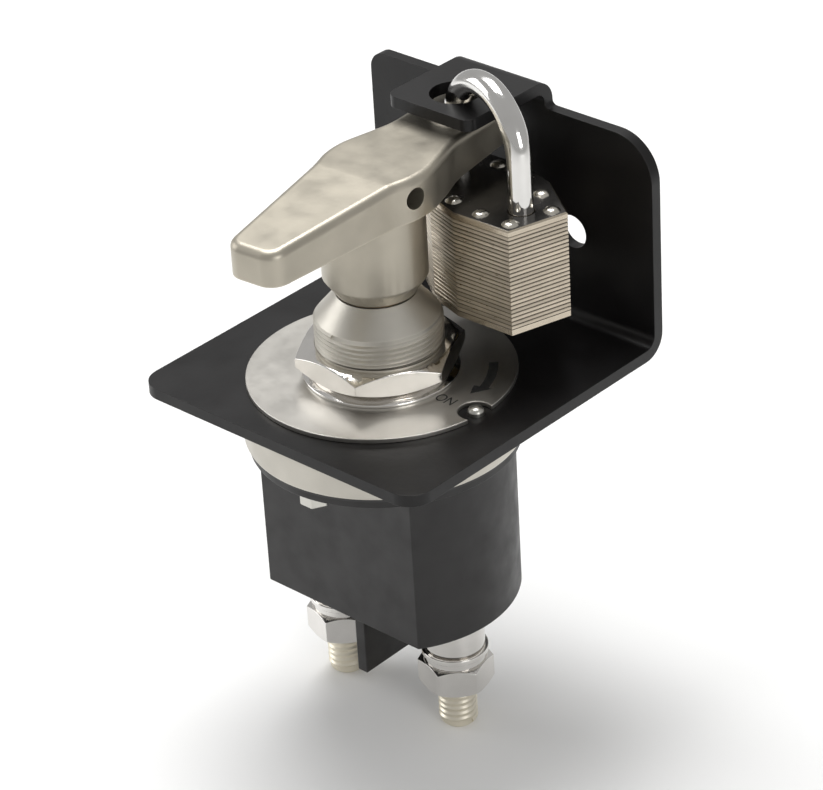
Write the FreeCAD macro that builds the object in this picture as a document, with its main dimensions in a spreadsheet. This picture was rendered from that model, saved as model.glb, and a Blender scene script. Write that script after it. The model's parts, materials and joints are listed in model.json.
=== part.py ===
import FreeCAD, Part
import math
import os
import Sketcher

# Battery master switch on an L-bracket, locked OFF by a laminated padlock.
# Millimetres. The origin is on the stem's axis, at the top face of the bracket's base plate.
# +Z runs up the stem, +Y points at the bracket's upright wall, +X runs along the bend.

DIMENSIONS = {
    # bracket
    "plateThick": 3.0, "plateHalf": 43.5, "plateFront": 37.6, "plateCorner": 6.0,
    "wallFace": 47.7, "wallTop": 53.0, "wallCornerLeft": 4.5, "wallCornerRight": 11.0,
    "bendInner": 3.0,
    "tabLeft": 13.6, "tabRight": 11.9, "tabTop": 60.0, "tabFront": 21.1, "tabCorner": 2.8,
    "tabBend": 2.5, "tabRoot": 1.4, "tabHoleX": -0.9, "tabHoleY": 31.2, "tabHoleRadius": 6.1,
    "wallHoleX": 19.0, "wallHoleZ": 22.8, "wallHoleRadius": 4.25,
    # threaded stem and what clamps the bracket
    "stemRadius": 15.2, "stemClear": 0.2, "threadTop": 16.5, "stemTop": 22.3, "stemTipRadius": 9.9,
    "faceRadius": 32.0, "faceThick": 1.2, "notchX": 30.3, "notchY": -1.4,
    "notchRadius": 4.15,
    "washerRadius": 18.6, "washerThick": 0.7, "washerRise": 1.5,
    "nutFlats": 35.4, "nutThick": 6.1, "nutTurn": -64.0,
    "pinX": 29.9, "pinY": -0.8, "pinRadius": 2.0, "pinTop": 1.9, "pinDepth": 3.0, "pinDomeLow": 1.2,
    "pinDomeMid": 0.45, "pinDomeHigh": 0.1,
    # cover
    "coverRadius": 33.4, "coverDepth": 11.5, "coverBore": 24.5, "coverRoof": 3.5,
    "coverRim": 0.8, "coverShoulder": 1.2,
    "gasketThick": 0.6, "gasketRadius": 32.8, "gasketBore": 28.4,
    "screwOrbit": 28.5, "screwTurn": -83.0, "screwHeadCorner": 3.7, "screwHeadThick": 2.9,
    "screwRadius": 2.0, "screwReach": 8.0, "screwClear": 0.1, "screwShort": 0.5,
    # housing
    "housingRadius": 30.7, "housingFlat": 18.8, "lipRadius": 32.4, "lipThick": 2.0,
    "housingFloor": 58.3, "housingWall": 2.5, "floorThick": 4.5,
    "barrierHalf": 1.5, "barrierReach": 13.5, "barrierBottom": 78.0,
    "overlap": 1.0,
    # terminals
    "terminalX": 18.5, "studRadius": 4.76, "studBottom": 91.5, "studClear": 0.05,
    "headRadius": 8.0, "headThick": 3.8, "padRadius": 5.0, "padThick": 0.8,
    "studTip": 0.9, "collarEdge": 0.5,
    "collarRadius": 7.4, "collarThick": 10.9, "flatWasherRadius": 8.2, "flatWasherThick": 1.4,
    "springWasherRadius": 7.6, "springWasherThick": 1.8, "springWasherGap": 1.6,
    "springWasherTurn": 135.0, "terminalNutTurn": -16.25,
    "terminalNutFlats": 16.0, "terminalNutThick": 7.4,
    # shaft line
    "bushRadius": 9.0, "bushBottom": 6.4, "bushTop": 21.8, "shaftRadius": 7.5, "runClear": 0.06,
    "shaftTop": 52.5, "shaftBottom": 20.0, "squareSize": 10.0, "squareBottom": 30.0,
    "sealRadius": 0.75, "sealZ": 17.0, "clipRadius": 11.0, "clipThick": 1.2, "clipTop": 8.6,
    "thrustRadius": 13.0, "thrustThick": 1.8, "grooveRadius": 6.2, "grooveClear": 0.05,
    "shaftChamfer": 0.5, "boreEnd": 0.1,
    # lever
    "leverTurn": 4.5, "leverTop": 54.5, "leverBottom": 44.0, "hubBottom": 22.8, "hubRadius": 12.4,
    "hubChamferRise": 4.2, "hubTipRadius": 9.6, "lockHoleY": 31.0, "lockHoleRadius": 5.4,
    "noseTip": 43.0, "noseTipHalf": 6.9, "noseDrop": 2.2, "neckHalf": 11.6, "neckFront": 6.0,
    "noseCorner": 4.5, "waistHalf": 14.4, "waistPeak": 3.0, "tailHalf": 9.8, "tailStart": 20.0,
    "tailEnd": 42.5,
    "tailThin": 2.6, "flankBlend": 20.0, "leverCorner": 2.8,
    "leverPinZ": 49.4, "leverPinRadius": 2.6, "leverPinHalf": 9.5, "leverPinClear": 0.05,
    "leverPinChamfer": 0.4,
    # rotor and contacts
    "rotorRadius": 15.0, "rotorTop": 21.5, "rotorBottom": 38.0, "guideBottom": 48.0,
    "lugHalf": 2.5, "lugReach": 18.0, "lugThick": 4.0, "lugTurn": 40.5,
    "guideWide": 4.0, "guideLong": 16.0, "guideGap": 0.15, "socketEnd": 0.3,
    "stopOrbit": 16.8, "stopRadius": 1.4, "stopBottom": 24.0, "stopRoof": 0.8,
    "leverTravel": 90.0, "stopGap": 0.35,
    "bridgeHalf": 15.0, "bridgeWide": 12.0, "bridgeThick": 3.0, "bridgeGap": 0.1,
    "coilRadius": 4.2, "coilWire": 0.6, "coilTurns": 3.5, "coilSeat": 1.3,
    # padlock, in its own frame: the toe leg is the origin and X runs to the heel leg
    "toeX": -0.4, "toeY": 30.6, "padlockTurn": -17.0, "legSpacing": 27.0, "legRadius": 3.0,
    "legHole": 3.2, "archZ": 53.7, "toeBottom": 31.5, "heelBottom": 19.0,
    "lockBottom": 14.0, "lockTop": 41.0, "lockHalf": 20.5, "lockFlat": 5.1,
    "lockDeep": 13.2, "lockEnd": 8.05, "lockSkin": 1.5, "plateCount": 23.0, "plateGap": 0.06,
    "plateBevel": 0.18, "rivetRadius": 1.5, "rivetHead": 2.1, "rivetRise": 0.8,
    "plugRadius": 5.5, "plugBore": 5.7, "plugTop": 34.4, "keyWide": 1.6, "keyLong": 7.0, "keyDeep": 6.0,
    "latchBottom": 35.0, "latchTop": 37.0, "latchHalf": 3.0, "latchTip": 1.95, "latchLength": 12.0,
    "latchTravel": 6.0, "latchBite": 1.2, "latchGap": 0.15, "latchRoom": 0.3, "notchLead": 0.5,
    "shackleTravel": 10.5,
}
# rivets of the padlock, from its middle
RIVETS = ((17.6, 5.6), (9.3, 8.3), (0.0, 9.8), (-9.3, 8.3), (-17.6, 5.6))
# rivet head: share of the head's radius and of its rise
RIVET_DOME = ((0.6, 0.8), (0.0, 1.0))
# hex nut: width of its flat face and slope of its corner chamfer
ROOT_THREE = 1.7320508
NUT_FACE = 0.97
NUT_SLOPE = 0.6
# tolerances of the tests that pick edges
TOUCH = 0.01
REACH = 0.2
ORIGIN = FreeCAD.Vector(0, 0, 0)
UP = FreeCAD.Vector(0, 0, 1)

doc = FreeCAD.newDocument("battery_switch")
dims = doc.addObject("Spreadsheet::Sheet", "dims")
nodes = []


def fill_sheet():
    """Writes every driving dimension as a plain number with its alias."""
    for row, (alias, value) in enumerate(DIMENSIONS.items(), start=1):
        dims.set("A%d" % row, alias)
        dims.set("B%d" % row, str(value))
        dims.setAlias("B%d" % row, alias)
    doc.recompute()


def size(alias):
    """The sheet's own number for an alias."""
    return float(dims.get(alias))


def sheet(expression):
    """Turns words such as 'stemRadius + stemClear' into an expression on the sheet."""
    out = ""
    word = ""
    for mark in expression + " ":
        if mark.isalpha():
            word += mark
            continue
        if word:
            out += "dims." + word if word in DIMENSIONS else word
            word = ""
        out += mark
    return out.strip()


def bind(item, **properties):
    """Binds properties to the sheet; a double underscore stands for a dot."""
    for name, expression in properties.items():
        item.setExpression(name.replace("__", "."), sheet(expression))
    return item


def turned(item, x="0", y="0", z="0", turn="0"):
    """Places a sub-part: turned about Z, then moved."""
    item.Placement = FreeCAD.Placement(ORIGIN, FreeCAD.Rotation(UP, 0.001))
    bind(item, Placement__Base__x=x, Placement__Base__y=y, Placement__Base__z=z,
         Placement__Rotation__Angle=turn)
    return item


def node(item, label):
    """Marks an object as a finished sub-part."""
    item.Label = label
    nodes.append(item)
    return item


def ride_lever(item):
    return turned(item, turn="leverTurn")


def ride_padlock(item):
    return turned(item, "toeX", "toeY", "0", "padlockTurn")


# ---- PartDesign helpers -------------------------------------------------------------------

def new_body(name):
    return doc.addObject("PartDesign::Body", name + "_body")


def plane(body, role):
    return next(item for item in body.Origin.OriginFeatures if item.Role == role)


def new_sketch(body, name, role="XY_Plane", offset=None):
    sketch = body.newObject("Sketcher::SketchObject", name)
    sketch.AttachmentSupport = (plane(body, role), [""])
    sketch.MapMode = "FlatFace"
    if offset:
        bind(sketch, AttachmentOffset__Base__z=offset)
    return sketch


def pin_point(sketch, index, corner, x, y):
    """Holds one corner of a sketch at sheet-driven coordinates."""
    for kind, expression in (("DistanceX", x), ("DistanceY", y)):
        held = sketch.addConstraint(Sketcher.Constraint(kind, -1, 1, index, corner, 1.0))
        sketch.setExpression("Constraints[%d]" % held, sheet(expression))


def value(expression):
    """Works an expression out in numbers, for a sketch's first drawing."""
    names = {alias: size(alias) for alias in DIMENSIONS}
    total = expression
    for alias in sorted(names, key=len, reverse=True):
        total = total.replace(alias, "(%r)" % names[alias])
    return FreeCAD.Units.Quantity(total).Value


def polygon(sketch, corners):
    """Draws a closed outline through corners given as sheet expressions."""
    points = [FreeCAD.Vector(value(x), value(y), 0) for x, y in corners]
    first = sketch.GeometryCount
    for start, end in zip(points, points[1:] + points[:1]):
        sketch.addGeometry(Part.LineSegment(start, end), False)
    count = len(points)
    for step in range(count):
        after = first + (step + 1) % count
        sketch.addConstraint(Sketcher.Constraint("Coincident", first + step, 2, after, 1))
    for step, (x, y) in enumerate(corners):
        pin_point(sketch, first + step, 1, x, y)
    return sketch


def circle(sketch, x, y, radius):
    """Draws a circle held by the sheet."""
    centre = FreeCAD.Vector(value(x), value(y), 0)
    index = sketch.addGeometry(Part.Circle(centre, UP, value(radius)), False)
    pin_point(sketch, index, 3, x, y)
    held = sketch.addConstraint(Sketcher.Constraint("Radius", index, 1.0))
    sketch.setExpression("Constraints[%d]" % held, sheet(radius))
    return sketch


def pad(body, sketch, length, down=False, midplane=False):
    feature = body.newObject("PartDesign::Pad", sketch.Name + "_pad")
    feature.Profile = sketch
    feature.Reversed = down
    feature.Midplane = midplane
    bind(feature, Length=length)
    doc.recompute()
    return feature


def cut(body, sketch, length=None, midplane=False, reverse=False):
    """Pockets a sketch and makes sure that it took material away."""
    before = body.Shape.Volume
    feature = body.newObject("PartDesign::Pocket", sketch.Name + "_cut")
    feature.Profile = sketch
    feature.Midplane = midplane
    feature.Reversed = reverse
    if length:
        bind(feature, Length=length)
    else:
        feature.Type = "ThroughAll"
    doc.recompute()
    if body.Shape.Volume >= before - 1e-6:
        raise ValueError(sketch.Name + " cuts nothing")
    return feature


def lathe(name, profile):
    """A body of revolution about Z from (radius, height) corners."""
    body = new_body(name)
    sketch = polygon(new_sketch(body, name + "_profile", "XZ_Plane"), profile)
    feature = body.newObject("PartDesign::Revolution", name + "_turned")
    feature.Profile = sketch
    feature.ReferenceAxis = (sketch, ["V_Axis"])
    feature.Angle = 360
    doc.recompute()
    return body


def edges(shape, wanted):
    """Names of the edges that a test on the edge's box and ends accepts."""
    return ["Edge%d" % (count + 1) for count, edge in enumerate(shape.Edges) if wanted(edge)]


def upright(x, y, reach=0.3):
    """A test for vertical edges that stand at |x|, y."""
    def wanted(edge):
        box = edge.BoundBox
        beside = abs(abs(box.Center.x) - abs(x)) < reach and abs(box.Center.y - y) < reach
        return beside and box.XLength < 0.01 and box.YLength < 0.01
    return wanted


def lying(along, x=None, y=None, z=None):
    """A test for straight edges along one axis that stand at the given coordinates."""
    def wanted(edge):
        box_ = edge.BoundBox
        lengths = {"x": box_.XLength, "y": box_.YLength, "z": box_.ZLength}
        reach = lengths.pop(along)
        if reach < TOUCH or max(lengths.values()) > TOUCH:
            return False
        pairs = zip((x, y, z), (box_.Center.x, box_.Center.y, box_.Center.z))
        return all(aim is None or abs(aim - real) < REACH for aim, real in pairs)
    return wanted


def dress(body, kind, wanted, amount):
    """Adds a fillet or chamfer on the chosen edges of a body's tip."""
    base = body.Tip
    names = edges(base.Shape, wanted)
    if not names:
        raise ValueError("no edge to dress on " + body.Label)
    feature = body.newObject("PartDesign::" + kind, "%s_%s" % (body.Name, kind.lower()))
    feature.Base = (base, names)
    bind(feature, **{"Radius" if kind == "Fillet" else "Size": amount})
    doc.recompute()
    return feature


# ---- Part helpers -------------------------------------------------------------------------

def cylinder(name, radius, height, x="0", y="0", z="0"):
    item = doc.addObject("Part::Cylinder", name)
    bind(item, Radius=radius, Height=height, Placement__Base__x=x, Placement__Base__y=y,
         Placement__Base__z=z)
    return item


def box(name, length, width, height, x, y, z):
    item = doc.addObject("Part::Box", name)
    bind(item, Length=length, Width=width, Height=height, Placement__Base__x=x,
         Placement__Base__y=y, Placement__Base__z=z)
    return item


def fused(name, *items):
    item = doc.addObject("Part::MultiFuse", name)
    item.Shapes = list(items)
    return item


def less(name, base, tool):
    item = doc.addObject("Part::Cut", name)
    item.Base = base
    item.Tool = tool
    return item


def group(name, items):
    """Solids that stay apart and share one node."""
    item = doc.addObject("Part::Compound", name)
    item.Links = list(items)
    return item


def ring(name, outer, inner, thick, z):
    disc = cylinder(name + "_disc", outer, thick, z=z)
    bore = cylinder(name + "_bore", inner, thick, z=z)
    return less(name, disc, bore)


def hex_nut(name, flats, bore, thick, z, turn="0"):
    """A nut with both faces chamfered at the corners."""
    corner = "(%s) / %s" % (flats, ROOT_THREE)
    face = "(%s) / 2 * %s" % (flats, NUT_FACE)
    rise = "(%s - %s) * %s" % (corner, face, NUT_SLOPE)
    top = "%s + %s" % (z, thick)
    prism = doc.addObject("Part::Prism", name + "_prism")
    prism.Polygon = 6
    turned(prism, z=z, turn=turn)
    bind(prism, Circumradius=corner, Height=thick)
    crown = lathe(name + "_crown", ((bore, z), (face, z), (corner, "%s + %s" % (z, rise)),
                                    (corner, "%s - %s" % (top, rise)), (face, top), (bore, top)))
    item = doc.addObject("Part::MultiCommon", name)
    item.Shapes = [prism, crown]
    return item


# ---- bracket and the parts clamped to it --------------------------------------------------

def make_bracket():
    """L-bracket of bent plate whose wall carries a tab bent over the lever's tail."""
    body = new_body("lockout_bracket")
    back = "wallFace + plateThick"
    root = "wallTop - wallCornerRight"
    ell = (("-plateFront", "-plateThick"), (back, "-plateThick"), (back, "wallTop"),
           ("wallFace", "wallTop"), ("wallFace", "0"), ("-plateFront", "0"))
    hook = (("wallFace", root), (back, root), (back, "tabTop"), ("tabFront", "tabTop"),
            ("tabFront", "tabTop - plateThick"), ("wallFace", "tabTop - plateThick"))
    pad(body, polygon(new_sketch(body, "bracket_ell", "YZ_Plane"), ell), "2 * plateHalf", midplane=True)
    flag = new_sketch(body, "bracket_tab", "YZ_Plane", "(tabRight - tabLeft) / 2")
    pad(body, polygon(flag, hook), "tabLeft + tabRight", midplane=True)
    round_bracket(body)
    drill_bracket(body)
    return node(body, "lockout_bracket")


def round_bracket(body):
    """Bends of the plate, then its cut corners."""
    face = size("wallFace")
    thick = size("plateThick")
    tab = size("tabTop")
    half = size("plateHalf")
    top = size("wallTop")
    dress(body, "Fillet", lying("x", y=face, z=0), "bendInner")
    dress(body, "Fillet", lying("x", y=face + thick, z=-thick), "bendInner + plateThick")
    dress(body, "Fillet", lying("x", y=face, z=tab - thick), "tabBend")
    dress(body, "Fillet", lying("x", y=face + thick, z=tab), "tabBend + plateThick")
    dress(body, "Fillet", upright(half, -size("plateFront")), "plateCorner")
    dress(body, "Fillet", upright(size("tabLeft"), size("tabFront")), "tabCorner")
    dress(body, "Fillet", upright(size("tabRight"), size("tabFront")), "tabCorner")
    dress(body, "Fillet", lying("y", x=-half, z=top), "wallCornerLeft")
    dress(body, "Fillet", lying("y", x=half, z=top), "wallCornerRight")
    dress(body, "Fillet", lying("y", x=-size("tabLeft"), z=top), "tabRoot")
    dress(body, "Fillet", lying("y", x=size("tabRight"), z=top), "tabRoot")


def drill_bracket(body):
    """Holes for the stem, the locating pin, the shackle and the wall bolts."""
    holes = new_sketch(body, "bracket_plate_holes")
    circle(holes, "0", "0", "stemRadius + stemClear")
    circle(holes, "pinX", "pinY", "pinRadius + runClear")
    cut(body, holes, "plateThick")
    lock = new_sketch(body, "bracket_lock_hole", offset="tabTop")
    circle(lock, "tabHoleX", "tabHoleY", "tabHoleRadius")
    cut(body, lock, "plateThick")
    wall = new_sketch(body, "bracket_wall_holes", "XZ_Plane", "-wallFace")
    circle(wall, "wallHoleX", "wallHoleZ", "wallHoleRadius")
    circle(wall, "-wallHoleX", "wallHoleZ", "wallHoleRadius")
    cut(body, wall, "plateThick")


def make_face_plate():
    """Printed disc on the bracket, notched round the locating pin."""
    body = new_body("face_plate")
    disc = new_sketch(body, "face_outline")
    circle(disc, "0", "0", "faceRadius")
    circle(disc, "0", "0", "stemRadius + stemClear")
    pad(body, disc, "faceThick")
    notch = new_sketch(body, "face_notch", offset="faceThick")
    circle(notch, "notchX", "notchY", "notchRadius")
    cut(body, notch, "faceThick")
    return node(body, "face_plate")


def make_stem_fasteners():
    """Dished lock washer and the thin hex nut on the stem."""
    bore = "stemRadius + runClear"
    low = "faceThick"
    washer = lathe("stem_washer", ((bore, low + " + washerRise"), ("washerRadius", low),
                                   ("washerRadius", low + " + washerThick"),
                                   (bore, low + " + washerRise + washerThick")))
    node(washer, "stem_lock_washer")
    seat = low + " + washerRise + washerThick"
    node(hex_nut("stem_hex", "nutFlats", bore, "nutThick", seat, "nutTurn"), "stem_nut")


def make_locating_pin():
    """Domed pin from the cover through the bracket and the disc's notch."""
    low = "-plateThick - pinDepth"
    pin = lathe("pin", (("0", low), ("pinRadius", low), ("pinRadius", "pinTop - pinDomeLow"),
                        ("pinRadius * 0.8", "pinTop - pinDomeMid"),
                        ("pinRadius * 0.4", "pinTop - pinDomeHigh"), ("0", "pinTop")))
    return node(turned(pin, x="pinX", y="pinY"), "locating_pin")


def make_cover():
    """Cast cover with the threaded stem, bored for the bush and closed by the housing."""
    low = "-plateThick - coverDepth"
    roof = "-plateThick - coverRoof"
    body = lathe("cover", (("bushRadius", roof), ("coverBore", roof), ("coverBore", low),
                           ("coverRadius - coverRim", low), ("coverRadius", low + " + coverRim"),
                           ("coverRadius", "-plateThick - coverShoulder"),
                           ("coverRadius - coverShoulder", "-plateThick"),
                           ("stemRadius", "-plateThick"), ("stemRadius", "threadTop"),
                           ("stemTipRadius", "stemTop"), ("bushRadius", "stemTop")))
    pin = new_sketch(body, "cover_pin_hole", offset="-plateThick")
    circle(pin, "pinX", "pinY", "pinRadius + runClear")
    cut(body, pin, "pinDepth")
    screws = new_sketch(body, "cover_screw_holes", offset=low)
    for side in (1, -1):
        circle(screws, *screw_place(side), "screwRadius + runClear")
    cut(body, screws, "screwReach", reverse=True)
    stops = new_sketch(body, "cover_stop_holes", offset=roof)
    for x, y in stop_places():
        circle(stops, x, y, "stopRadius + runClear")
    cut(body, stops, "coverRoof - stopRoof", reverse=True)
    return node(body, "switch_cover")


def screw_place(side):
    """Centre of one cover screw, as sheet expressions."""
    turn = math.radians(size("screwTurn"))
    return ["%d * screwOrbit * %.6f" % (side, part) for part in (math.cos(turn), math.sin(turn))]


def stop_places():
    """Centres of the two stop pins that end the rotor lug's quarter turn."""
    reach = math.degrees(math.asin((size("lugHalf") + size("stopRadius")) / size("stopOrbit")))
    rest = 180 + size("leverTurn") + size("lugTurn")
    first = rest + reach + size("stopGap")
    last = rest - size("leverTravel") - reach - size("stopGap")
    return [("stopOrbit * %.6f" % math.cos(math.radians(turn)),
             "stopOrbit * %.6f" % math.sin(math.radians(turn))) for turn in (first, last)]


def make_stop_pins():
    low = "-stopBottom"
    height = "stopBottom - plateThick - stopRoof"
    pins = [cylinder("stop_pin_%d" % count, "stopRadius", height, x, y, low)
            for count, (x, y) in enumerate(stop_places())]
    return node(group("stop_pin_pair", pins), "stop_pins")


def make_gasket():
    low = "-plateThick - coverDepth - gasketThick"
    high = low + " + gasketThick"
    body = lathe("gasket", (("gasketBore", low), ("gasketRadius", low), ("gasketRadius", high),
                            ("gasketBore", high)))
    holes = new_sketch(body, "gasket_holes", offset=low)
    for side in (1, -1):
        circle(holes, *screw_place(side), "screwRadius + screwClear")
    cut(body, holes, "gasketThick", reverse=True)
    return node(body, "cover_gasket")


def lip_top():
    return "-plateThick - coverDepth - gasketThick"


def make_cover_screws():
    """Two hex-head screws from below, one before each flat of the housing."""
    under = lip_top() + " - lipThick"
    screws = []
    for count, side in enumerate((1, -1)):
        x, y = screw_place(side)
        head = doc.addObject("Part::Prism", "screw_head_%d" % count)
        head.Polygon = 6
        bind(head, Circumradius="screwHeadCorner", Height="screwHeadThick", Placement__Base__x=x,
             Placement__Base__y=y, Placement__Base__z=under + " - screwHeadThick")
        shank = cylinder("screw_shank_%d" % count, "screwRadius",
                         "lipThick + gasketThick + screwReach - screwShort", x, y, under)
        screws.append(fused("screw_%d" % count, head, shank))
    return node(group("screw_pair", screws), "cover_screws")


# ---- housing and terminals ----------------------------------------------------------------

def flat_round(name, radius, flat, low, height):
    """A round block cut by two flats, one each side of the X axis."""
    disc = cylinder(name + "_round", radius, height, z=low)
    slab = box(name + "_slab", "2 * " + radius, "2 * (%s)" % flat, height, "-" + radius,
               "-(%s)" % flat, low)
    item = doc.addObject("Part::MultiCommon", name)
    item.Shapes = [disc, slab]
    return item


def make_housing():
    """Moulded cup with a screwed lip and a barrier between the terminals."""
    shell = flat_round("cup", "housingRadius", "housingFlat", "-housingFloor",
                       "housingFloor - plateThick - coverDepth - gasketThick")
    lip = cylinder("cup_lip", "lipRadius", "lipThick", z=lip_top() + " - lipThick")
    barrier = box("cup_barrier", "2 * barrierHalf", "2 * barrierReach",
                  "barrierBottom - housingFloor + overlap", "-barrierHalf", "-barrierReach",
                  "-barrierBottom")
    hollow = flat_round("cup_hollow", "(housingRadius - housingWall)", "housingFlat - housingWall",
                        "floorThick - housingFloor", "housingFloor")
    tools = [hollow]
    for count, side in enumerate((-1, 1)):
        stud = cylinder("cup_stud_hole_%d" % count, "studRadius + studClear",
                        "floorThick + 2 * overlap", "%d * terminalX" % side, "0",
                        "-housingFloor - overlap")
        screw = cylinder("cup_screw_hole_%d" % count, "screwRadius + screwClear", "lipThick",
                         *screw_place(side), lip_top() + " - lipThick")
        tools += [stud, screw]
    solid = fused("cup_solid", shell, lip, barrier)
    return node(less("cup_part", solid, fused("cup_tools", *tools)), "housing")


def make_stud(side_name, x):
    """Terminal stud with its contact head inside and a chamfered tip."""
    low = "-studBottom"
    head = cylinder(side_name + "_head", "headRadius", "headThick", x, "0", "floorThick - housingFloor")
    rod = cylinder(side_name + "_stud", "studRadius",
                   "studBottom - housingFloor + floorThick + headThick / 2", x, "0", low)
    tip = doc.addObject("Part::Cone", side_name + "_tip")
    bind(tip, Radius1="studRadius - studTip", Radius2="studRadius", Height="studTip",
         Placement__Base__x=x, Placement__Base__z=low)
    slug = cylinder(side_name + "_slug", "studRadius", "studTip", x, "0", low)
    rim = less(side_name + "_rim", slug, tip)
    pointed = less(side_name + "_rod", rod, rim)
    node(fused(side_name + "_terminal", head, pointed), "terminal_stud_" + side_name)


def make_terminal(side_name, side):
    """One stud with its collar, washers and nut, along -Z."""
    x = "%d * terminalX" % side
    make_stud(side_name, x)
    bore = "studRadius + studClear"
    level = "-housingFloor - collarThick"
    collar = lathe(side_name + "_collar", ((bore, level), ("collarRadius - collarEdge", level),
                                           ("collarRadius", level + " + collarEdge"),
                                           ("collarRadius", "-housingFloor"), (bore, "-housingFloor")))
    node(turned(collar, x=x), "terminal_collar_" + side_name)
    level += " - flatWasherThick"
    flat = ring(side_name + "_flat", "flatWasherRadius", bore, "flatWasherThick", level)
    node(turned(flat, x=x), "terminal_washer_" + side_name)
    level += " - springWasherThick"
    coil = ring(side_name + "_coil", "springWasherRadius", bore, "springWasherThick", level)
    gap = box(side_name + "_gap", "springWasherRadius", "springWasherGap", "springWasherThick",
              "0", "-springWasherGap / 2", level)
    split = less(side_name + "_split", coil, gap)
    node(turned(split, x=x, turn="springWasherTurn"), "terminal_spring_washer_" + side_name)
    level += " - terminalNutThick"
    nut = hex_nut(side_name + "_nut", "terminalNutFlats", bore, "terminalNutThick", level,
                  "terminalNutTurn")
    node(turned(nut, x=x), "terminal_nut_" + side_name)


def make_contact_pads():
    level = "floorThick + headThick - housingFloor"
    pads = [cylinder("contact_pad_%d" % count, "padRadius", "padThick", "%d * terminalX" % side, "0",
                     level) for count, side in enumerate((-1, 1))]
    return node(group("contact_pad_pair", pads), "fixed_contact_pads")


# ---- shaft line ---------------------------------------------------------------------------

def make_shaft_supports():
    """Bush in the stem and the thrust ring under the cover's roof."""
    bush = ring("bush", "bushRadius", "shaftRadius + runClear", "bushTop + bushBottom", "-bushBottom")
    node(bush, "stem_bush")
    top = "-plateThick - coverRoof"
    thrust = ring("thrust", "thrustRadius", "shaftRadius + runClear * 2", "thrustThick",
                  top + " - thrustThick")
    node(thrust, "thrust_ring")


def make_shaft():
    """Round shaft, cross-drilled for the lever's pin, with a square foot for the rotor."""
    seal_low = "sealZ - sealRadius - grooveClear"
    seal_high = "sealZ + sealRadius + grooveClear"
    inner = "shaftRadius - 2 * sealRadius - grooveClear"
    clip_low = "-clipTop - clipThick - grooveClear"
    clip_high = "grooveClear - clipTop"
    body = lathe("shaft", (("0", "-shaftBottom"), ("shaftRadius", "-shaftBottom"),
                           ("shaftRadius", clip_low), ("grooveRadius", clip_low),
                           ("grooveRadius", clip_high), ("shaftRadius", clip_high),
                           ("shaftRadius", seal_low), (inner, seal_low), (inner, seal_high),
                           ("shaftRadius", seal_high), ("shaftRadius", "shaftTop - shaftChamfer"),
                           ("shaftRadius - shaftChamfer", "shaftTop"), ("0", "shaftTop")))
    drill = new_sketch(body, "shaft_cross_hole", "YZ_Plane")
    circle(drill, "0", "leverPinZ", "leverPinRadius + leverPinClear")
    cut(body, drill, "3 * shaftRadius", midplane=True)
    foot = new_sketch(body, "shaft_square", offset="-shaftBottom")
    half = "squareSize / 2"
    polygon(foot, (("-" + half, "-" + half), (half, "-" + half), (half, half), ("-" + half, half)))
    pad(body, foot, "squareBottom - shaftBottom", down=True)
    return node(ride_lever(body), "shaft")


def make_shaft_rings():
    """Sealing ring and the clip that keeps the shaft down."""
    seal = doc.addObject("Part::Torus", "seal_torus")
    bind(seal, Radius1="shaftRadius - sealRadius", Radius2="sealRadius", Placement__Base__z="sealZ")
    node(seal, "shaft_seal")
    clip = ring("clip", "clipRadius", "grooveRadius + runClear", "clipThick", "-clipTop - clipThick")
    mouth = box("clip_mouth", "clipRadius", "squareSize", "clipThick", "0", "-squareSize / 2",
                "-clipTop - clipThick")
    node(ride_lever(less("clip_open", clip, mouth)), "shaft_clip")


def make_rotor():
    """Insulating rotor: square socket, stop lug and two guides for the contact bridge."""
    drum = cylinder("rotor_drum", "rotorRadius", "rotorBottom - rotorTop", z="-rotorBottom")
    arm = box("rotor_arm", "lugReach", "2 * lugHalf", "lugThick", "-lugReach", "-lugHalf",
              "-rotorTop - lugThick")
    lug = turned(group("rotor_lug", [arm]), turn="lugTurn")
    near = "bridgeWide / 2 + guideGap"
    guides = [box("rotor_guide_%d" % count, "guideWide", "guideLong",
                  "guideBottom - rotorBottom + overlap", x, "-guideLong / 2", "-guideBottom")
              for count, x in enumerate(("-%s - guideWide" % near.replace("+", "-"), near))]
    room = "squareSize + 2 * runClear"
    socket = box("rotor_socket", room, room, "squareBottom - rotorTop + socketEnd",
                 "-(%s) / 2" % room, "-(%s) / 2" % room, "-squareBottom - socketEnd")
    solid = fused("rotor_solid", drum, lug, *guides)
    return node(ride_lever(less("rotor_part", solid, socket)), "rotor")


def bridge_low():
    return "floorThick + headThick + padThick + bridgeGap - housingFloor"


def make_contact_bridge():
    bar = box("bridge_bar", "bridgeWide", "2 * bridgeHalf", "bridgeThick", "-bridgeWide / 2",
              "-bridgeHalf", bridge_low())
    return node(ride_lever(group("bridge_holder", [bar])), "contact_bridge")


def make_contact_spring():
    """Coil spring that presses the bridge down; its helix is cut to the space it works in."""
    low = value(bridge_low()) + size("bridgeThick") + size("coilSeat")
    high = -size("rotorBottom") - size("coilSeat")
    pitch = (high - low) / size("coilTurns")
    helix = Part.makeHelix(pitch, high - low, size("coilRadius"))
    start = FreeCAD.Vector(size("coilRadius"), 0, 0)
    section = Part.Wire(Part.makeCircle(size("coilWire"), start, FreeCAD.Vector(0, 1, 0)))
    item = doc.addObject("Part::Feature", "contact_coil")
    item.Shape = Part.Wire(helix).makePipeShell([section], True, True)
    item.Placement = FreeCAD.Placement(FreeCAD.Vector(0, 0, low), FreeCAD.Rotation(UP, size("leverTurn")))
    return node(item, "contact_spring")


# ---- lever --------------------------------------------------------------------------------

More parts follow.
